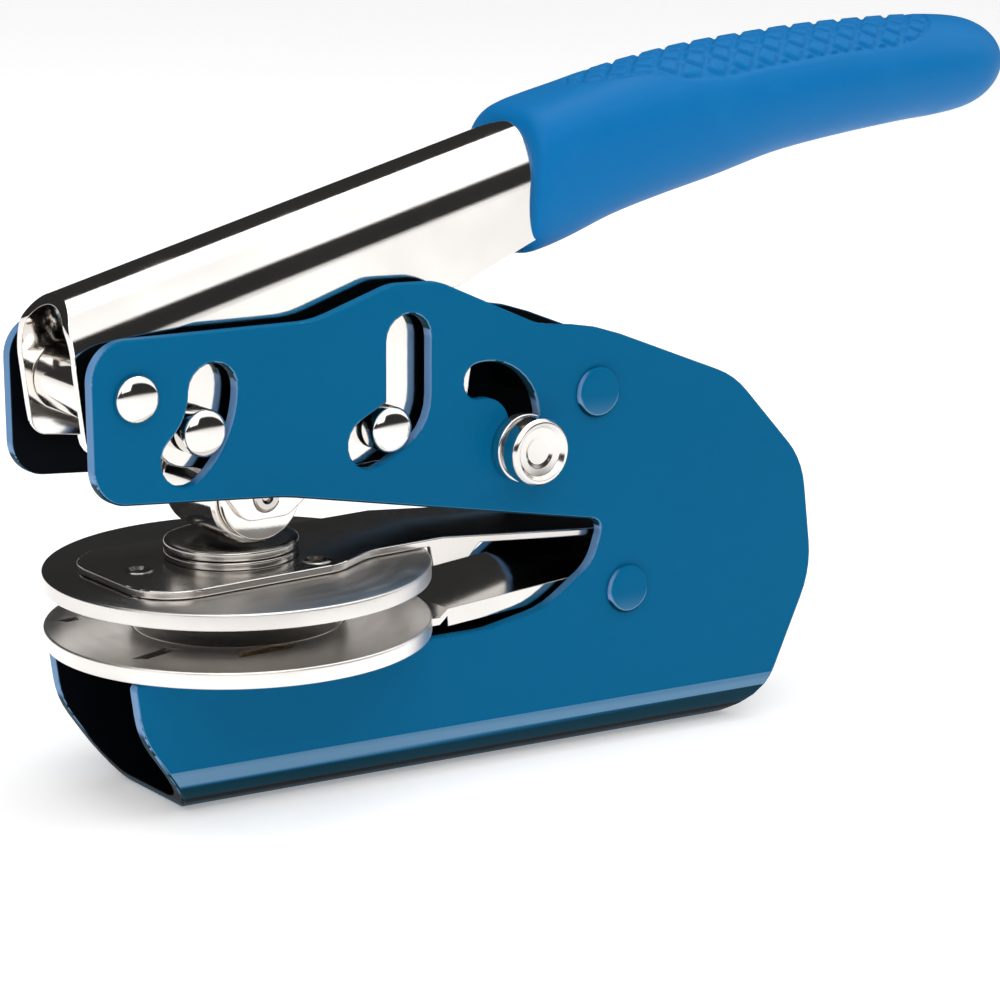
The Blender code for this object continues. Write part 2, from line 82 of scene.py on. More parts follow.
# ---------------------------------------------------------------- materials
class Value:
    """A shader socket that takes plain arithmetic."""

    def __init__(self, finish, out):
        self.finish = finish
        self.out = out

    def math(self, operation, *rest):
        values = [self, *rest]
        node = self.finish.node("ShaderNodeMath", {"operation": operation}, dict(enumerate(values)))
        return Value(self.finish, node.outputs[0])

    def __add__(self, other):
        return self.math("ADD", other)

    __radd__ = __add__

    def __mul__(self, other):
        return self.math("MULTIPLY", other)

    __rmul__ = __mul__

    def __sub__(self, other):
        return self.math("SUBTRACT", other)

    def __rsub__(self, other):
        return self * -1.0 + other

    def band(self, low, high):
        """0 below low, 1 above high, smooth between."""
        node = self.finish.node(
            "ShaderNodeMapRange",
            {"interpolation_type": "SMOOTHSTEP"},
            {"Value": self, "From Min": low, "From Max": high},
        )
        return Value(self.finish, node.outputs[0])


class Finish:
    """A material in the making: a Principled shader and the nodes that feed it."""

    def __init__(self, name, **shader):
        self.material = bpy.data.materials.new(name)
        self.material.use_nodes = True
        self.tree = self.material.node_tree
        self.shader = self.tree.nodes["Principled BSDF"]
        for socket, value in shader.items():
            self.shader.inputs[socket.replace("_", " ")].default_value = value
        self.place = self.node("ShaderNodeTexCoord").outputs["Object"]

    def node(self, kind, settings=None, sockets=None):
        node = self.tree.nodes.new(kind)
        for name, value in (settings or {}).items():
            setattr(node, name, value)
        for socket, value in (sockets or {}).items():
            if isinstance(value, Value):
                value = value.out
            if isinstance(value, bpy.types.NodeSocket):
                self.tree.links.new(value, node.inputs[socket])
            else:
                node.inputs[socket].default_value = value
        return node

    def noise(self, per_metre, detail=3.0, stretch=(1.0, 1.0, 1.0), turn=0.0):
        """Cloudy value about 0.5, in real size; stretch draws it out along an axis."""
        mapped = self.node(
            "ShaderNodeMapping",
            {},
            {"Vector": self.place, "Rotation": (0.0, turn, 0.0), "Scale": stretch},
        )
        node = self.node(
            "ShaderNodeTexNoise", {}, {"Vector": mapped.outputs[0], "Scale": per_metre, "Detail": detail}
        )
        return Value(self, node.outputs["Fac"])

    def grains(self, per_metre):
        """Distance to the nearest grain of a fine cell pattern."""
        node = self.node("ShaderNodeTexVoronoi", {}, {"Vector": self.place, "Scale": per_metre})
        return Value(self, node.outputs["Distance"])

    def axis(self, letter):
        split = self.node("ShaderNodeSeparateXYZ", {}, {"Vector": self.place})
        return Value(self, split.outputs[letter])

    def from_axis(self, point, flat):
        """Distance from a line through the point; flat holds 1 for the directions that count."""
        moved = self.node("ShaderNodeVectorMath", {"operation": "SUBTRACT"}, {0: self.place, 1: tuple(point)})
        kept = self.node("ShaderNodeVectorMath", {"operation": "MULTIPLY"}, {0: moved.outputs[0], 1: flat})
        size = self.node("ShaderNodeVectorMath", {"operation": "LENGTH"}, {0: kept.outputs[0]})
        return Value(self, size.outputs["Value"])

    def blend(self, factor, one, two):
        """Colour between one and two."""
        node = self.node("ShaderNodeMix", {"data_type": "RGBA"}, {0: factor})
        for index, colour in ((6, one), (7, two)):
            if isinstance(colour, tuple):
                node.inputs[index].default_value = (*colour, 1.0)
            else:
                self.tree.links.new(colour, node.inputs[index])
        return node.outputs[2]

    def feed(self, socket, value):
        self.tree.links.new(value.out if isinstance(value, Value) else value, self.shader.inputs[socket])
        return self

    def relief(self, height, depth, strength=1.0):
        bump = self.node(
            "ShaderNodeBump", {}, {"Height": height, "Strength": strength, "Distance": depth}
        )
        return self.feed("Normal", bump.outputs[0])


def stove_enamel():
    """Blue enamel over the folded steel; the inside of the channel is coloured near black as painted shade.

    A pale band and a shade along the bottom bend, and a pale tone on the front edges, are laid into the
    colour by the way the surface faces. They are light, not paint: without the three blends on bend_light,
    edge_light and under_shade the enamel is one even blue.
    """
    f = Finish("stove_enamel", Specular_IOR_Level=0.03, Coat_Roughness=0.16, Coat_IOR=1.4)
    cloud = f.noise(35.0, 2.0)
    blue = f.blend(cloud, (0.0, 0.112, 0.252), (0.0, 0.124, 0.274))
    specks = f.noise(2600.0, 1.0).band(0.70, 0.78)
    blue = f.blend(specks * 0.2, blue, (0.01, 0.14, 0.29))
    normal = f.node("ShaderNodeNewGeometry").outputs["Normal"]
    facing = f.node("ShaderNodeSeparateXYZ", {}, {"Vector": normal})
    lean = Value(f, facing.outputs["Z"])
    ahead = Value(f, facing.outputs["X"])
    bend_light = lean.band(-0.36, -0.28) * (1.0 - lean.band(-0.20, -0.005))
    blue = f.blend(bend_light * 0.65, blue, (0.21, 0.36, 0.52))
    edge_light = 1.0 - ahead.band(-0.80, -0.35)
    blue = f.blend(edge_light * 0.5, blue, (0.26, 0.42, 0.72))
    under_shade = (1.0 - lean.band(-0.40, -0.32)) * lean.band(-0.995, -0.96)
    blue = f.blend(under_shade, blue, (0.0, 0.032, 0.055))
    across = f.axis("Y").math("ABSOLUTE")
    above = f.axis("Z").band(0.0012, 0.0016)
    inside = (1.0 - across.band((INNER + 0.03) * MM, (INNER + 0.12) * MM)) * above
    # painted shade: the inside of the channel, above the bottom, is coloured near black to stand in for the
    # shadow there
    inside_shade_colour = f.blend(cloud, (0.0012, 0.0018, 0.003), (0.003, 0.0045, 0.007))
    f.feed("Base Color", f.blend(inside, blue, inside_shade_colour))
    scuffs = f.noise(240.0, 4.0, (1.0, 1.0, 6.0)).band(0.62, 0.8)
    f.feed("Roughness", 0.36 + cloud * 0.08 + scuffs * 0.08)
    f.feed("Coat Weight", 0.05 - inside * 0.03)
    f.relief(f.noise(700.0, 2.0), 0.00002, 0.5)
    return f.material


def plated(name, colour, rough, grain_turn=None, point=None, flat=(1.0, 0.0, 1.0), satin=0.0):
    """Bright nickel plate, polished along a direction or in rings round a point.

    Satin is the roughness added towards the near right of the tool.
    """
    f = Finish(name, Metallic=1.0)
    haze = f.noise(60.0, 3.0)
    pale = tuple(min(1.0, c * 1.06) for c in colour)
    dull = tuple(c * 0.90 for c in colour)
    f.feed("Base Color", f.blend(haze.band(0.3, 0.7), dull, pale))
    if point is not None:
        ring = f.from_axis(point, flat) * 2600.0
        lines = ring.math("SINE") * 0.5 + 0.5
        lines = lines * 0.6 + f.noise(900.0, 2.0) * 0.4
    elif grain_turn is not None:
        lines = f.noise(5200.0, 2.0, (0.02, 1.0, 1.0), grain_turn)
    else:
        lines = f.noise(3000.0, 3.0)
    smudge = f.noise(110.0, 3.0).band(0.55, 0.75)
    rubbed = (f.axis("X") * 0.45 - f.axis("Y")).band(-0.010 + 0.45 * SHIFT, 0.012 + 0.45 * SHIFT)
    f.feed("Roughness", rough + lines * 0.05 + smudge * 0.05 + rubbed * satin)
    f.relief(lines, 0.000004, 0.35)
    return f.material


def rubber():
    """Soft moulded grip with a fine matt grain."""
    f = Finish("moulded_grip", Specular_IOR_Level=0.12, Sheen_Weight=0.03, Sheen_Roughness=0.45)
    cloud = f.noise(45.0, 3.0)
    rubbed = f.noise(160.0, 4.0).band(0.5, 0.75)
    blue = f.blend(cloud, (0.0, 0.150, 0.415), (0.0, 0.170, 0.455))
    f.feed("Base Color", f.blend(rubbed * 0.2, blue, (0.01, 0.19, 0.47)))
    f.feed("Roughness", 0.48 + rubbed * 0.10)
    f.relief(f.grains(2400.0) + f.noise(1500.0, 3.0), 0.00003, 0.35)
    return f.material


def brass_key():
    """Old brass with a filed top."""
    f = Finish("filed_brass", Metallic=1.0)
    cuts = f.noise(1500.0, 4.0, (1.0, 3.0, 1.0))
    f.feed("Base Color", f.blend(cuts.band(0.35, 0.65), (0.10, 0.07, 0.025), (0.45, 0.33, 0.16)))
    f.feed("Roughness", 0.3 + cuts * 0.3)
    f.relief(cuts, 0.00015, 0.8)
    return f.material


def blackened():
    """Oil-blackened steel."""
    f = Finish("blackened_steel", Metallic=0.6)
    haze = f.noise(700.0, 3.0)
    f.feed("Base Color", f.blend(haze, (0.012, 0.011, 0.010), (0.035, 0.033, 0.030)))
    f.feed("Roughness", 0.42 + haze * 0.15)
    f.relief(haze, 0.00003, 0.5)
    return f.material


def die_face():
    """Matt machined face of a die plate, with fine turning lines."""
    f = Finish("die_face", Metallic=1.0)
    haze = f.noise(90.0, 3.0)
    ring = (f.from_axis(LEVEL @ LOWER_DISC, (1.0, 1.0, 0.0)) * 5200.0).math("SINE")
    f.feed("Base Color", f.blend(haze, (0.30, 0.285, 0.27), (0.46, 0.44, 0.42)))
    f.feed("Roughness", 0.34 + haze * 0.12)
    f.relief(ring, 0.000006, 0.5)
    return f.material


# ---------------------------------------------------------------- tools for shapes
def set_down(name, bm, body, material, nodes, sharp=35.0, drawn=True):
    """Finish a mesh, put it in place of its CAD nodes and let it ride on its body."""
    bmesh.ops.remove_doubles(bm, verts=bm.verts[:], dist=1e-5 if drawn else 1e-8)
    bmesh.ops.recalc_face_normals(bm, faces=bm.faces[:])
    mesh = bpy.data.meshes.new(name)
    bm.to_mesh(mesh)
    bm.free()
    if drawn:
        mesh.transform(LEVEL)
    mesh.shade_smooth()
    mesh.set_sharp_from_angle(angle=math.radians(sharp))
    mesh.materials.append(material)
    piece = bpy.data.objects.new(name, mesh)
    bpy.context.scene.collection.objects.link(piece)
    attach(piece, body)
    if nodes:
        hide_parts(*nodes)
    return piece


def weigh_normals(piece):
    """Keep flat faces flat in shading beside narrow rounded edges."""
    mod = piece.modifiers.new("weights", "WEIGHTED_NORMAL")
    mod.keep_sharp = True
    return piece


def soften(bm, width, angle=40.0, segments=3):
    """Round every edge that is sharper than the angle."""
    edges = [e for e in bm.edges if e.is_manifold and e.calc_face_angle(0.0) > math.radians(angle)]
    bmesh.ops.bevel(
        bm, geom=edges, offset=width, offset_type="OFFSET", segments=segments, profile=0.5,
        affect="EDGES", material=-1, clamp_overlap=False, miter_outer="ARC", miter_inner="ARC",
    )


def rounded(corners, step=6.0):
    """Corners of (x, z, radius) as an outline with true arcs."""
    out = []
    for i, (x, z, r) in enumerate(corners):
        p = Vector((x, z))
        a = Vector(corners[i - 1][:2]) - p
        b = Vector(corners[(i + 1) % len(corners)][:2]) - p
        turn = math.pi - a.angle(b)
        if r <= 0 or turn < 0.01:
            out.append((x, z))
            continue
        start = p + a.normalized() * r * math.tan(turn / 2)
        centre = p + (a.normalized() + b.normalized()).normalized() * (r / math.cos(turn / 2))
        spoke = start - centre
        sign = -1.0 if a.x * b.y - a.y * b.x > 0 else 1.0
        count = max(2, math.ceil(math.degrees(turn) / step))
        for k in range(count + 1):
            way = Matrix.Rotation(sign * turn * k / count, 2)
            out.append(tuple(centre + way @ spoke))
    return out


def spin_profile(profile, at, steps=96, upright=False):
    """Profile of (radius, height) turned about Y, or about Z when upright; corners get a small round."""
    line = rounded_line(profile)
    bm = bmesh.new()
    verts = [bm.verts.new((r, 0.0, h)) for r, h in line]
    closed = line[0][0] > 1e-6
    loop = verts + [verts[0]] if closed else verts
    edges = [bm.edges.new(pair) for pair in zip(loop, loop[1:])]
    bmesh.ops.spin(
        bm, geom=verts + edges, axis=(0, 0, 1), cent=(0, 0, 0), angle=2 * math.pi, steps=steps, use_merge=True
    )
    bmesh.ops.remove_doubles(bm, verts=bm.verts[:], dist=1e-4)
    if not upright:
        bmesh.ops.rotate(bm, verts=bm.verts[:], cent=(0, 0, 0), matrix=Matrix.Rotation(-math.pi / 2, 3, "X"))
    bmesh.ops.translate(bm, verts=bm.verts[:], vec=at)
    return bm


def rounded_line(profile):
    """Open or closed (r, h, round) profile; a corner with a third number is rounded to that radius."""
    closed = profile[0][0] > 1e-6
    out = []
    n = len(profile)
    for i, (r, h, *extra) in enumerate(profile):
        fillet = extra[0] if extra else 0.0
        if not fillet or (not closed and i in (0, n - 1)):
            out.append((r, h))
            continue
        p = Vector((r, h))
        a = Vector(profile[i - 1][:2]) - p
        b = Vector(profile[(i + 1) % n][:2]) - p
        turn = math.pi - a.angle(b)
        reach = fillet * math.tan(turn / 2)
        p0, p1 = p + a.normalized() * reach, p + b.normalized() * reach
        for k in range(5):
            t = k / 4
            out.append(tuple((1 - t) ** 2 * p0 + 2 * t * (1 - t) * p + t ** 2 * p1))
    return out


def face_prism(outline, y0, y1):
    """Outline in the side view, extruded across the tool."""
    bm = bmesh.new()
    face = bm.faces.new([bm.verts.new((x, y0, z)) for x, z in outline])
    grown = bmesh.ops.extrude_face_region(bm, geom=[face])
    moved = [v for v in grown["geom"] if isinstance(v, bmesh.types.BMVert)]
    bmesh.ops.translate(bm, verts=moved, vec=(0.0, y1 - y0, 0.0))
    bmesh.ops.recalc_face_normals(bm, faces=bm.faces[:])
    return bm


def combine(bm, other, operation):
    """Boolean of two closed meshes."""
    objects = []
    for source in (bm, other):
        mesh = bpy.data.meshes.new("blank")
        source.to_mesh(mesh)
        source.free()
        obj = bpy.data.objects.new("blank", mesh)
        bpy.context.scene.collection.objects.link(obj)
        objects.append(obj)
    mod = objects[0].modifiers.new("combine", "BOOLEAN")
    mod.operation = operation
    mod.solver = "EXACT"
    mod.object = objects[1]
    bpy.context.view_layer.update()
    result = bmesh.new()
    result.from_mesh(objects[0].evaluated_get(bpy.context.evaluated_depsgraph_get()).to_mesh())
    for obj in objects:
        mesh = obj.data
        bpy.data.objects.remove(obj)
        bpy.data.meshes.remove(mesh)
    return result


def dressed(name, node, body, material, width, sharp=35.0):
    """Copy of a CAD node with its flat faces made whole and its edges rounded."""
    bm = bmesh.new()
    bm.from_mesh(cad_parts[node].data)
    bmesh.ops.remove_doubles(bm, verts=bm.verts[:], dist=1e-6)
    bmesh.ops.scale(bm, vec=(1 / MM,) * 3, verts=bm.verts[:])
    bmesh.ops.dissolve_limit(bm, angle_limit=math.radians(0.5), verts=bm.verts[:], edges=bm.edges[:])
    if width:
        soften(bm, width)
    bmesh.ops.scale(bm, vec=(MM,) * 3, verts=bm.verts[:])
    piece = set_down(name, bm, body, material, [node], sharp, drawn=False)
    for face in piece.data.polygons:
        if abs(face.normal.y) > 0.9999:
            face.use_smooth = False
    return weigh_normals(piece)


# ---------------------------------------------------------------- finishes in use
ENAMEL = stove_enamel()
BRIGHT = plated("bright_nickel", (0.82, 0.79, 0.755), 0.07)
LEVER_PLATE = plated("lever_nickel", (0.84, 0.81, 0.775), 0.06, grain_turn=LEVER_SLOPE - BASE_SLOPE)
DARK = plated("spring_nickel", (0.56, 0.53, 0.50), 0.15, grain_turn=0.0)
DISC_PLATE = plated(
    "disc_nickel", (0.76, 0.73, 0.70), 0.10, point=LEVEL @ LOWER_DISC, flat=(1.0, 1.0, 0.0), satin=0.22
)
SATIN_PLATE = plated(
    "satin_nickel", (0.92, 0.885, 0.85), 0.29, point=LEVEL @ LOWER_DISC, flat=(1.0, 1.0, 0.0)
)
LEAF_PLATE = plated("leaf_nickel", (0.70, 0.665, 0.63), 0.17, grain_turn=0.0)
PAD_PLATE = plated(
    "pad_nickel", (0.55, 0.52, 0.49), 0.16, point=LEVEL @ spot("press_pad_cap"), flat=(1.0, 1.0, 0.0)
)
KNOB_PLATE = plated("knob_nickel", (0.82, 0.79, 0.755), 0.12, point=LEVEL @ spot("lock_knob"))
GRIP_RUBBER = rubber()
DIE_FACE = die_face()
BRASS = brass_key()
BLACKENED = blackened()


# ---------------------------------------------------------------- frame
def make_frame():
    dressed("frame_shell", "frame", "frame_body", ENAMEL, 0.3)
    for name, head in (("rivet_upper", 3.5), ("rivet_lower", 3.4)):
        out = HALF + 0.05
        edge = [(0.0, out + 0.75), (head - 0.25, out + 0.70, 0.5), (head, out, 0.2), (head - 1.0, out)]
        profile = [(r, -h, *rest) for r, h, *rest in edge] + edge[::-1]
        at = spot(name)
        bm = spin_profile(profile, (at.x, 0, at.z))
        set_down(name + "_head", bm, "frame_body", ENAMEL, [name])


def domed_pin(name, node, body, seat, reach, material):
    """Pin with a domed head at each end."""
    at = spot(node)
    head = 3.0
    dome = [(head * math.cos(t), reach - 1.25 + 1.25 * math.sin(t)) for t in
            (math.radians(90 - 9 * k) for k in range(11))]
    dome[0] = (0.0, reach)
    half = dome + [(head, seat + 0.1), (head - 0.12, seat), (2.0, seat)]
    profile = [(r, -h) for r, h in half] + half[::-1]
    bm = spin_profile(profile, (at.x, 0, at.z))
    return set_down(name, bm, body, material, [node])


def ring(name, node, body, inner, outer, y0, y1, slot, material):
    """Plain tube or washer on a cross pin, with eased rims."""
    at = spot(node)
    e = min(0.25, (y1 - y0) / 4)
    profile = [(inner, y0), (outer, y0, e), (outer, y1, e), (inner, y1)]
    bm = spin_profile(profile, (at.x, 0, at.z))
    return set_down(name, bm, body, material, [node])


def make_pins():
    domed_pin("pivot_pin_domed", "pivot_pin", "frame_body", HALF + 0.05, HALF + 1.7, BRIGHT)
    domed_pin("crank_pin_domed", "crank_pin", "lever_body", 9.1, HALF + 1.4, BRIGHT)
    domed_pin("guide_pin_domed", "guide_pin", "press_arm_body", 9.1, HALF + 1.4, BRIGHT)
    ring("pivot_bush_turned", "pivot_bush", "frame_body", 2.1, 4.5, -6.1, 6.1, "bright_nickel", BRIGHT)
    ring("crank_spacer_turned", "crank_spacer", "lever_body", 2.1, 3.4, -6.1, 6.1, "dark_nickel", DARK)
    ring("guide_spacer_turned", "guide_spacer", "press_arm_body", 2.1, 3.3, -7.45, 7.45, "dark_nickel", DARK)


# ---------------------------------------------------------------- lever and grip
def hood_section(radius, drop):
    arc = [(radius * math.cos(math.pi * k / 32), radius * math.sin(math.pi * k / 32)) for k in range(33)]
    return arc + [(-radius, -drop), (radius, -drop)]


def hood(radius):
    """Long bar with a round back, along the lever."""
    bm = bmesh.new()
    face = bm.faces.new([bm.verts.new((-40.0, y, z)) for y, z in hood_section(radius, 60.0)])
    grown = bmesh.ops.extrude_face_region(bm, geom=[face])
    moved = [v for v in grown["geom"] if isinstance(v, bmesh.types.BMVert)]
    bmesh.ops.translate(bm, verts=moved, vec=(200.0, 0.0, 0.0))
    bmesh.ops.recalc_face_normals(bm, faces=bm.faces[:])
    bmesh.ops.rotate(bm, verts=bm.verts[:], cent=(0, 0, 0), matrix=Matrix.Rotation(-LEVER_SLOPE, 3, "Y"))
    bmesh.ops.translate(bm, verts=bm.verts[:], vec=LEVER_AT)
    return bm


def make_lever():
    corners = [
        (-24.0, 49.0, 0.8), (-26.5, 43.6, 3.0), (-26.4, 39.0, 6.0), (-25.2, 28.6, 2.2), (-17.0, 27.4, 3.0),
        (-11.5, 25.6, 3.0), (-6.5, 26.6, 4.0), (11.5, 40.4, 6.0), (30.5, 43.4, 12.0), (41.8, 47.9, 10.0),
        (60.0, 54.1, 1.5), (60.0, 75.0, 0.0), (-24.0, 60.0, 0.0),
    ]
    bm = combine(face_prism(rounded(corners), -20.0, 20.0), hood(LEVER_HALF), "INTERSECT")
    bm = combine(bm, hood(LEVER_HALF - LEVER_SHEET), "DIFFERENCE")
    bmesh.ops.remove_doubles(bm, verts=bm.verts[:], dist=0.12)
    soften(bm, 0.16, segments=2)
    piece = set_down("lever_hood", bm, "lever_body", LEVER_PLATE, ["lever"])
    return weigh_normals(piece)


GRIP_STATIONS = (  # x, z, half height, half width, squareness, slope in degrees
    (41.9, 54.9, 7.6, 7.7, 3.0, -4.0), (41.95, 54.9, 8.2, 8.2, 3.0, -4.0),
    (42.3, 55.0, 8.95, 8.75, 3.0, -4.0), (43.0, 55.15, 9.5, 9.05, 3.0, -3.5),
    (44.0, 55.35, 9.78, 9.15, 3.0, -2.5), (45.8, 55.8, 9.8, 9.15, 3.0, 0.0),
    (48.5, 56.5, 9.6, 9.1, 3.0, 5.0), (55.0, 58.25, 9.25, 9.0, 2.8, 11.5), (63.5, 60.1, 9.35, 9.0, 2.5, 11.5),
    (74.5, 61.95, 9.25, 9.0, 2.2, 9.0), (86.0, 63.6, 8.55, 9.0, 2.0, 7.0), (97.5, 64.6, 8.1, 9.0, 2.0, 4.2),
    (110.0, 65.2, 7.6, 8.8, 2.0, 2.5), (117.0, 65.3, 7.3, 8.5, 2.0, 2.5), (122.6, 65.4, 6.7, 7.9, 2.0, 2.5),
    (126.0, 65.6, 5.6, 6.7, 2.0, 3.0), (128.2, 65.8, 3.9, 4.9, 2.0, 3.0), (129.2, 65.9, 1.6, 2.2, 2.0, 3.0),
    (129.35, 65.9, 0.05, 0.05, 2.0, 3.0),
)
GROOVE = 0.42
PAD_ALONG = 4.4
PAD_ACROSS = 4.6
PAD_EDGE = (        # place along the grip and reach of the pads round from the crest
    (54.6, 0.0), (56.7, 2.7), (60.4, 4.0), (64.2, 5.0), (69.5, 7.6), (76.0, 8.6), (106.0, 8.6), (110.0, 7.7),
    (113.4, 5.7), (115.4, 3.6), (117.0, 0.0),
)


def grip_station(s):
    """Values of the grip's section at a fraction along its length, eased between the stations."""
    last = len(GRIP_STATIONS) - 1
    s = min(max(s, 0.0), last - 1e-9)
    i = int(s)
    t = s - i
    four = [GRIP_STATIONS[min(max(i + k, 0), last)] for k in (-1, 0, 1, 2)]
    out = []
    for a, b, c, d in zip(*four):
        low, high = min(b, c), max(b, c)
        curve = (2 * a - 5 * b + 4 * c - d) * t * t
        v = 0.5 * (2 * b + (c - a) * t + curve + (3 * b - a - 3 * c + d) * t ** 3)
        margin = 0.15 * (high - low)
        out.append(min(max(v, low - margin), high + margin))
    return out


def step(value, low, high):
    t = min(max((value - low) / (high - low), 0.0), 1.0)
    return t * t * (3 - 2 * t)


def pad_reach(x):
    """How far the pads reach round from the crest at a place along the grip."""
    for (x0, r0), (x1, r1) in zip(PAD_EDGE, PAD_EDGE[1:]):
        if x0 <= x <= x1:
            return r0 + (r1 - r0) * (x - x0) / (x1 - x0)
    return -1.0


def pad_groove(x, across):
    """Depth of the grooves between the diamond pads at a place along and round the grip."""
    rim = pad_reach(x) - abs(across)
    if rim <= -0.4:
        return 0.0
    a = x / PAD_ALONG + across / PAD_ACROSS
    b = x / PAD_ALONG - across / PAD_ACROSS
    size = 1.0 / math.hypot(1 / PAD_ALONG, 1 / PAD_ACROSS)
    groove = min(abs(a - round(a)), abs(b - round(b))) * size
    lines = (1.0 - step(groove, 0.18, 0.62)) * step(rim, -0.1, 0.3)
    border = 1.0 - step(abs(rim), 0.15, 0.5)
    return GROOVE * max(lines, 0.8 * border)


def make_grip():
    rows, columns = 430, 140
    last = len(GRIP_STATIONS) - 1
    # spread the rows evenly along the length, with a share for the rounded ends
    fine = [grip_station(last * k / 2000) for k in range(2001)]
    length = [0.0]
    for p, q in zip(fine, fine[1:]):
        length.append(length[-1] + math.hypot(q[0] - p[0], 0.6 * (q[2] - p[2])))
    bm = bmesh.new()
    previous = None
    k = 0
    for row in range(rows + 1):
        goal = length[-1] * row / rows
        while k < 1999 and length[k + 1] < goal:
            k += 1
        share = (goal - length[k]) / max(length[k + 1] - length[k], 1e-9)
        x, z, high, wide, square, slope = grip_station(last * (k + min(max(share, 0.0), 1.0)) / 2000)
        place = Matrix.Translation((x, 0.0, z)) @ Matrix.Rotation(-math.radians(slope), 4, "Y")
        circle = bmesh.ops.create_circle(bm, cap_ends=False, segments=columns, radius=1.0)["verts"]
        for i, v in enumerate(circle):
            even = 2 * math.pi * i / columns
            angle = even - 0.45 * math.sin(even)      # columns crowd round the crest, where the grooves are
            c, s = math.cos(angle), math.sin(angle)
            grow = (abs(c) ** square + abs(s) ** square) ** (-1.0 / square)
            depth = pad_groove(x, wide * math.atan2(s, c)) if c > -0.2 else 0.0
            out = Vector((0.0, s * grow * wide, c * grow * high))
            out -= out.normalized() * depth
            v.co = place @ out
        edges = list({e for v in circle for e in v.link_edges})
        if previous:
            bmesh.ops.bridge_loops(bm, edges=previous + edges)
        previous = edges
    bmesh.ops.holes_fill(bm, edges=[e for e in bm.edges if e.is_boundary], sides=0)
    bmesh.ops.triangulate(bm, faces=[f for f in bm.faces if len(f.verts) > 4])
    return set_down("grip_sleeve", bm, "lever_body", GRIP_RUBBER, ["grip"], sharp=60.0)


# ---------------------------------------------------------------- press arm and roller
def make_arm():
    for side in ("near", "far"):
        dressed("arm_plate_" + side, "arm_" + side, "press_arm_body", BRIGHT, 0.2)
        low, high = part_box("roller_washer_" + side)
        ring(
            "washer_" + side, "roller_washer_" + side, "press_arm_body", 2.0, 5.8, low.y / MM, high.y / MM,
            "bright_nickel", BRIGHT,
        )
    wall = [(2.0, -5.3), (5.2, -5.3, 0.2), (5.5, -6.1, 0.15), (6.2, -6.1, 0.15), (6.6, -5.7, 0.2)]
    profile = wall + [(r, -h, *rest) for r, h, *rest in wall[::-1]]
    bm = spin_profile(profile, (AXLE.x, 0, AXLE.z), steps=128)
    set_down("roller_turned", bm, "roller_body", BRIGHT, ["roller"])
    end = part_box("roller_axle")[1].y / MM
    r = 1.8
    half = [
        (0.0, end - 0.5), (0.55, end - 0.5, 0.1), (0.85, end, 0.1), (r - 0.2, end, 0.1), (r, end - 0.3, 0.1)
    ]
    profile = [(a, -h, *rest) for a, h, *rest in half] + half[::-1]
    bm = spin_profile(profile, (AXLE.x, 0, AXLE.z))
    set_down("roller_axle_staked", bm, "press_arm_body", DARK, ["roller_axle"])


# ---------------------------------------------------------------- die clip
def disc_blank(centre, recess=0.0):
    half = DISC_T / 2
    profile = [(0.0, -half), (DISC_R, -half, 0.35), (DISC_R, half, 0.35)]
    if recess:
        profile += [(DIE_R, half, 0.08), (DIE_R, half - recess), (0.0, half - recess)]
    else:
        profile += [(0.0, half)]
    return spin_profile(profile, centre, steps=160, upright=True)


def face_block(outline, low, high):
    """Outline in the plan view, extruded upwards."""
    bm = bmesh.new()
    face = bm.faces.new([bm.verts.new((x, y, low)) for x, y in outline])
    grown = bmesh.ops.extrude_face_region(bm, geom=[face])
    moved = [v for v in grown["geom"] if isinstance(v, bmesh.types.BMVert)]
    bmesh.ops.translate(bm, verts=moved, vec=(0.0, 0.0, high - low))
    bmesh.ops.recalc_face_normals(bm, faces=bm.faces[:])
    return bm


POCKETS = {
    "front": ((-20.6, -8.4), (-19.0, -9.6), (-13.4, -8.2), (-14.6, -6.6)),
    "near": ((-9.6, -15.9), (-1.4, -16.2), (-0.6, -14.2), (-3.4, -13.6), (-8.4, -13.9)),
    "far": ((-19.6, 12.6), (-16.6, 12.9), (-17.2, 11.2), (-19.0, 11.1)),
}


def make_discs():
    bm = disc_blank(UPPER_DISC)
    set_down("upper_disc_plated", bm, "upper_clip_body", DISC_PLATE, ["upper_disc"], 50)
    bm = disc_blank(LOWER_DISC, 1.0)
    top = LOWER_DISC.z + DISC_T / 2
    for outline in POCKETS.values():
        shape = [(x + LOWER_DISC.x, y) for x, y in outline]
        bm = combine(bm, face_block(shape, top - 0.9, top + 2.0), "DIFFERENCE")
    set_down("lower_disc_plated", bm, "frame_body", SATIN_PLATE, ["lower_disc"], 50)
    inset = [(0.9 * (x + 5.0) - 5.0, 0.86 * (y + 15.0) - 15.0) for x, y in POCKETS["near"]]
    bm = face_block(inset, top - 0.85, top - 0.15)
    soften(bm, 0.12)
    set_down("locating_key", bm, "frame_body", BRASS, [])
    for label in ("front", "far"):
        middle = [sum(c) / len(POCKETS[label]) for c in zip(*POCKETS[label])]
        inset = [[m + 0.86 * (c - m) for c, m in zip(corner, middle)] for corner in POCKETS[label]]
        bm = face_block(inset, top - 0.85, top - 0.3)
        soften(bm, 0.1)
        set_down("blackened_stop_" + label, bm, "frame_body", BLACKENED, [])


def upright(name, node, body, slot, material, profile, steps=96):
    """Turned piece that stands on the clip; profile heights are from the node's middle."""
    bm = spin_profile(profile, spot(node), steps=steps, upright=True)
    return set_down(name, bm, body, material, [node])


def make_dies():
    upright("upper_die_plate", "upper_die", "upper_clip_body", "die_metal", DIE_FACE,
            [(0, -1.525), (DIE_R, -1.525, 0.2), (DIE_R, 1.525, 0.1), (0, 1.525)])
    upright("lower_die_plate", "lower_die", "frame_body", "die_metal", SATIN_PLATE,
            [(0, -0.45), (13.8, -0.45, 0.1), (13.8, 0.45, 0.15), (0, 0.45)])


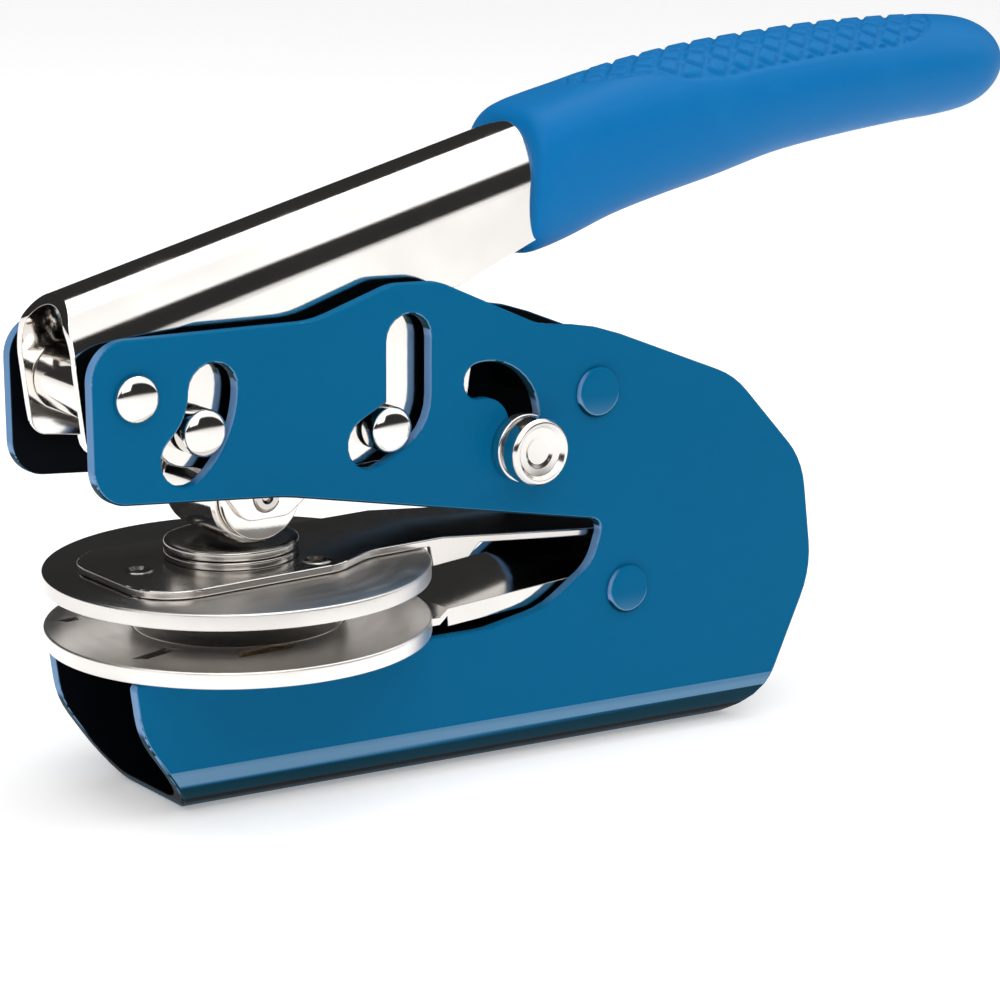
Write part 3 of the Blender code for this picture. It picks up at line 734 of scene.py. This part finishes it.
def make_leaves():
    dressed("upper_leaf_spring", "upper_leaf", "upper_clip_body", LEAF_PLATE, 0.24)
    dressed("lower_leaf_spring", "lower_leaf", "frame_body", BRIGHT, 0.08)
    dressed("clip_spacer_block", "clip_spacer", "frame_body", DARK, 0.2)
    for label in ("front", "near", "far"):
        profile = [
            (0.0, 0.1), (0.8, 0.12, 0.2), (1.45, 0.5, 0.25), (1.9, 0.42, 0.2), (2.0, 0.1, 0.05), (1.2, 0.1),
            (1.2, -0.85), (0.0, -0.85),
        ]
        upright("leaf_rivet_dimpled_" + label, "leaf_rivet_" + label, "upper_clip_body", "dark_nickel", DARK,
                profile, 48)
    for label in ("a", "b"):
        low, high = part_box("clip_rivet_" + label)
        half = (high.z - low.z) / MM / 2 - 0.1
        profile = [
            (0, -half), (1.8, -half + 0.1, 0.3), (2.4, -half + 0.45, 0.2),
            (2.4, -half + 0.7), (1.35, -half + 0.7),
            (1.35, half - 0.7), (2.4, half - 0.7), (2.4, half - 0.45, 0.2), (1.8, half - 0.1, 0.3), (0, half),
        ]
        upright("clip_rivet_domed_" + label, "clip_rivet_" + label, "frame_body", "bright_nickel", BRIGHT,
                profile, 48)
    base = [(0, -0.5), (8.7, -0.5, 0.15), (8.7, 0.5, 0.3), (0, 0.5)]
    cap = [(0, -0.575), (8.7, -0.575, 0.2), (8.7, 0.575, 0.35), (7.6, 0.56, 0.2), (6.3, 0.3, 0.4), (0, 0.25)]
    upright("press_pad_foot", "press_pad_base", "upper_clip_body", "dark_nickel", PAD_PLATE, base, 128)
    upright("press_pad_dish", "press_pad_cap", "upper_clip_body", "dark_nickel", PAD_PLATE, cap, 128)


# ---------------------------------------------------------------- lock
def make_lock():
    at = spot("lock_knob")
    out = HALF + 0.1
    profile = [
        (0, -9.2), (1.4, -9.2), (1.4, -9.55), (2.1, -9.55), (2.1, -out),
        (4.6, -out, 0.1), (4.6, -out - 1.5, 0.35),
        (3.6, -out - 1.6, 0.1), (3.6, -out - 2.2, 0.1), (4.5, -out - 2.3, 0.2), (4.5, -out - 4.4, 0.3),
        (4.1, -out - 4.9, 0.2), (3.7, -out - 4.95, 0.15), (3.2, -out - 4.35, 0.2), (2.2, -out - 4.25, 0.2),
        (1.7, -out - 4.0, 0.2), (0, -out - 3.95),
    ]
    set_down("lock_knob_turned", spin_profile(profile, (at.x, 0, at.z), 128), "lock_body",
             KNOB_PLATE, ["lock_knob"])
    low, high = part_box("lock_washer")
    y0, y1 = low.y / MM, high.y / MM
    ring("lock_washer_eased", "lock_washer", "lock_body", 1.5, 3.6, y0, y1, "dark_nickel", DARK)


# ---------------------------------------------------------------- studio
def make_floor():
    bm = bmesh.new()
    bmesh.ops.create_grid(bm, x_segments=2, y_segments=2, size=4.0)
    mesh = bpy.data.meshes.new("floor")
    bm.to_mesh(mesh)
    bm.free()
    floor = bpy.data.objects.new("floor", mesh)
    bpy.context.scene.collection.objects.link(floor)
    f = Finish("pale_floor", Roughness=0.9, Emission_Strength=0.3)
    f.feed("Base Color", f.blend(f.noise(3.0), (0.90, 0.90, 0.90), (0.93, 0.93, 0.93)))
    f.shader.inputs["Emission Color"].default_value = (1.0, 1.0, 1.0, 1.0)
    mesh.materials.append(f.material)


def make_world():
    """Soft studio: long overhead and front boxes with dark gaps between them, pale behind the object."""
    world = bpy.data.worlds.new("studio")
    bpy.context.scene.world = world
    world.use_nodes = True
    tree = world.node_tree
    tree.nodes.clear()
    new = tree.nodes.new
    link = tree.links.new
    place = new("ShaderNodeTexCoord").outputs["Generated"]
    split = new("ShaderNodeSeparateXYZ")
    link(place, split.inputs[0])
    flip = new("ShaderNodeMath")
    flip.operation = "MULTIPLY"
    flip.inputs[1].default_value = -1.0
    link(split.outputs["Y"], flip.inputs[0])
    turn = new("ShaderNodeMath")
    turn.operation = "ARCTAN2"
    link(split.outputs["Z"], turn.inputs[0])
    link(flip.outputs[0], turn.inputs[1])
    share = new("ShaderNodeMapRange")
    share.inputs["From Min"].default_value = -math.pi
    share.inputs["From Max"].default_value = math.pi
    link(turn.outputs[0], share.inputs["Value"])
    ramp = new("ShaderNodeValToRGB")
    ramp.color_ramp.interpolation = "EASE"
    stops = [(-180, 0.3), (-60, 0.6), (-2, 1.0), (4, 0.03), (34, 0.03), (40, 1.35), (103, 1.2), (110, 0.03),
             (179, 0.03)]
    elements = ramp.color_ramp.elements
    while len(elements) > 1:
        elements.remove(elements[0])
    for index, (degrees, level) in enumerate(stops):
        position = (degrees + 180.0) / 360.0
        element = elements[0] if index == 0 else elements.new(position)
        element.position = position
        element.color = (level / 2, level / 2, level / 2, 1.0)
    link(share.outputs[0], ramp.inputs[0])
    studio = new("ShaderNodeBackground")
    studio.inputs["Strength"].default_value = 2.0
    link(ramp.outputs[0], studio.inputs["Color"])
    pale = new("ShaderNodeBackground")
    pale.inputs["Color"].default_value = (1.0, 1.0, 1.0, 1.0)
    mix = new("ShaderNodeMixShader")
    path = new("ShaderNodeLightPath")
    link(path.outputs["Is Camera Ray"], mix.inputs[0])
    link(studio.outputs[0], mix.inputs[1])
    link(pale.outputs[0], mix.inputs[2])
    out = new("ShaderNodeOutputWorld")
    link(mix.outputs[0], out.inputs[0])


def area_light(name, where, aim, size, power):
    light = bpy.data.lights.new(name, "AREA")
    light.shape = "RECTANGLE"
    light.size, light.size_y = size
    light.energy = power
    obj = bpy.data.objects.new(name, light)
    bpy.context.scene.collection.objects.link(obj)
    obj.location = where
    obj.rotation_euler = (Vector(aim) - Vector(where)).to_track_quat("-Z", "Y").to_euler()


def make_camera():
    azimuth, elevation, roll = (math.radians(a) for a in (-36.254, 12.339, -1.818))
    back = Vector((math.sin(azimuth) * math.cos(elevation), -math.cos(azimuth) * math.cos(elevation),
                   math.sin(elevation)))
    right = Vector((0, 0, 1)).cross(back).normalized()
    up = back.cross(right)
    lean = up * math.cos(roll) + right * math.sin(roll)
    side = lean.cross(back)
    data = bpy.data.cameras.new("camera")
    data.lens = 118.8
    data.sensor_width = 36.0
    data.clip_start = 0.01
    camera = bpy.data.objects.new("camera", data)
    bpy.context.scene.collection.objects.link(camera)
    turn = Matrix((side, lean, back)).transposed().to_4x4()
    camera.matrix_world = Matrix.Translation((-0.2480, -0.3522, 0.1288)) @ turn
    bpy.context.scene.camera = camera


make_frame()
make_pins()
make_lever()
make_grip()
make_arm()
make_discs()
make_dies()
make_leaves()
make_lock()
make_floor()
make_world()
area_light("front_box", (-0.35, -0.75, 0.55), (0.0, 0.0, 0.04), (0.7, 0.5), 2.0)
area_light("top_box", (0.05, 0.15, 0.85), (0.0, 0.0, 0.04), (0.9, 0.5), 2.6)
make_camera()
bpy.context.scene.view_settings.view_transform = "Standard"
